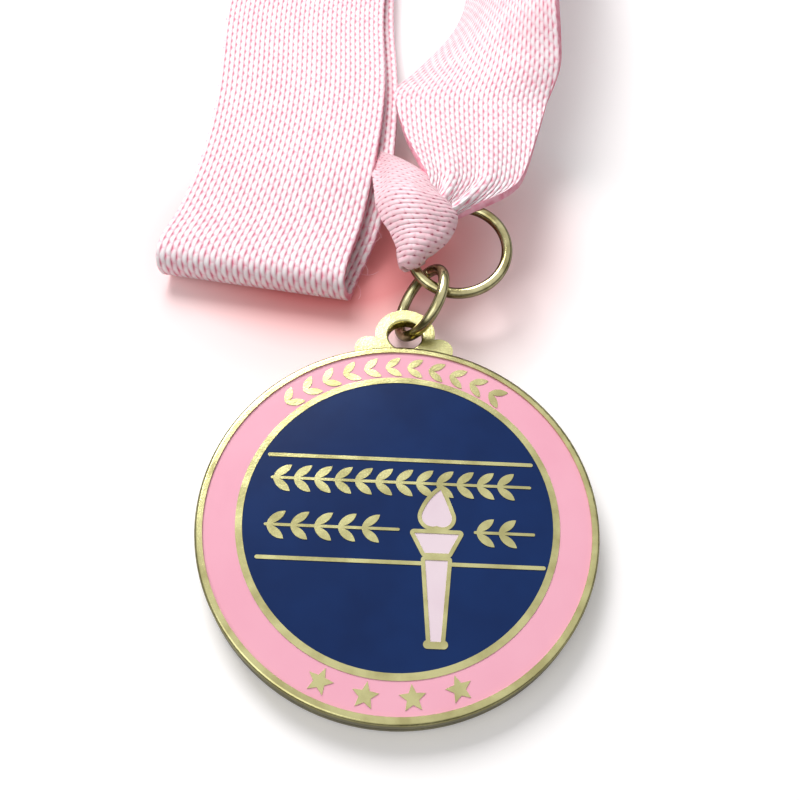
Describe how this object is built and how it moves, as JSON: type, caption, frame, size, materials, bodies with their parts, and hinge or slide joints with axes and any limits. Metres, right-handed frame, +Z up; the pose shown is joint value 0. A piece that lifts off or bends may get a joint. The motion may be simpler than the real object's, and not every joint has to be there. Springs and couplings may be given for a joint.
{
  "type": "sports finisher medal",
  "caption": "Round enamelled finisher medal with a lobed hanger lug, two linked wire rings and a woven pink neck ribbon folded on the table",
  "frame": {"origin": "centre of the medal's flat back face", "axes": "+Z up from the table, +Y from the medal through its lug and rings along the ribbon, +X to the right of the face. The medal's face leans 2 degrees because the jump ring lies under its lug."},
  "size_m": [0.0615, 0.2521, 0.0221],
  "materials": {
    "pale_gold": "polished",
    "navy_enamel": "gloss",
    "pink_enamel": "gloss",
    "blush_enamel": "gloss",
    "antique_brass": "polished",
    "ribbon_weave": "woven",
    "thread": "matte"
  },
  "bodies": {
    "medal": {"medal_blank": "pale_gold", "hanger_lug": "pale_gold", "solder_fillet": "pale_gold", "relief_field": "pale_gold", "relief_band": "pale_gold", "torch_metal": "pale_gold", "enamel_field": "navy_enamel", "enamel_band": "pink_enamel", "enamel_handle": "blush_enamel", "enamel_cup": "blush_enamel", "enamel_flame": "blush_enamel"},
    "jump_ring": {"jump_ring": "antique_brass"},
    "large_ring": {"large_ring": "antique_brass"},
    "ribbon": {"ribbon_eye": "ribbon_weave", "ribbon_front": "ribbon_weave", "ribbon_left": "ribbon_weave", "ribbon_left_far": "ribbon_weave", "ribbon_turn_left": "ribbon_weave", "ribbon_loop_low": "ribbon_weave", "ribbon_fold": "ribbon_weave", "ribbon_loop_top": "ribbon_weave", "ribbon_top_far": "ribbon_weave", "ribbon_turn_right": "ribbon_weave", "ribbon_right_far": "ribbon_weave", "ribbon_right_bank": "ribbon_weave", "ribbon_right": "ribbon_weave", "stitch_bar": "thread"}
  },
  "joints": [
    {"name": "jump_ring_turn", "type": "hinge", "parent": "medal", "child": "jump_ring", "pos_m": [0.002, 0.02939, 0.00368], "axis": [-0.8359, 0.1047, 0.5387], "range_deg": [-10, 10]},
    {"name": "large_ring_turn", "type": "hinge", "parent": "jump_ring", "child": "large_ring", "pos_m": [0.0066, 0.03646, 0.00608], "axis": [-0.068, -0.2172, 0.9738], "range_deg": [-20, 4]},
    {"name": "ribbon_lift", "type": "hinge", "parent": "large_ring", "child": "ribbon", "pos_m": [0.00038, 0.0358, 0.0055], "axis": [1, 0, 0], "range_deg": [0, 8]}
  ]
}
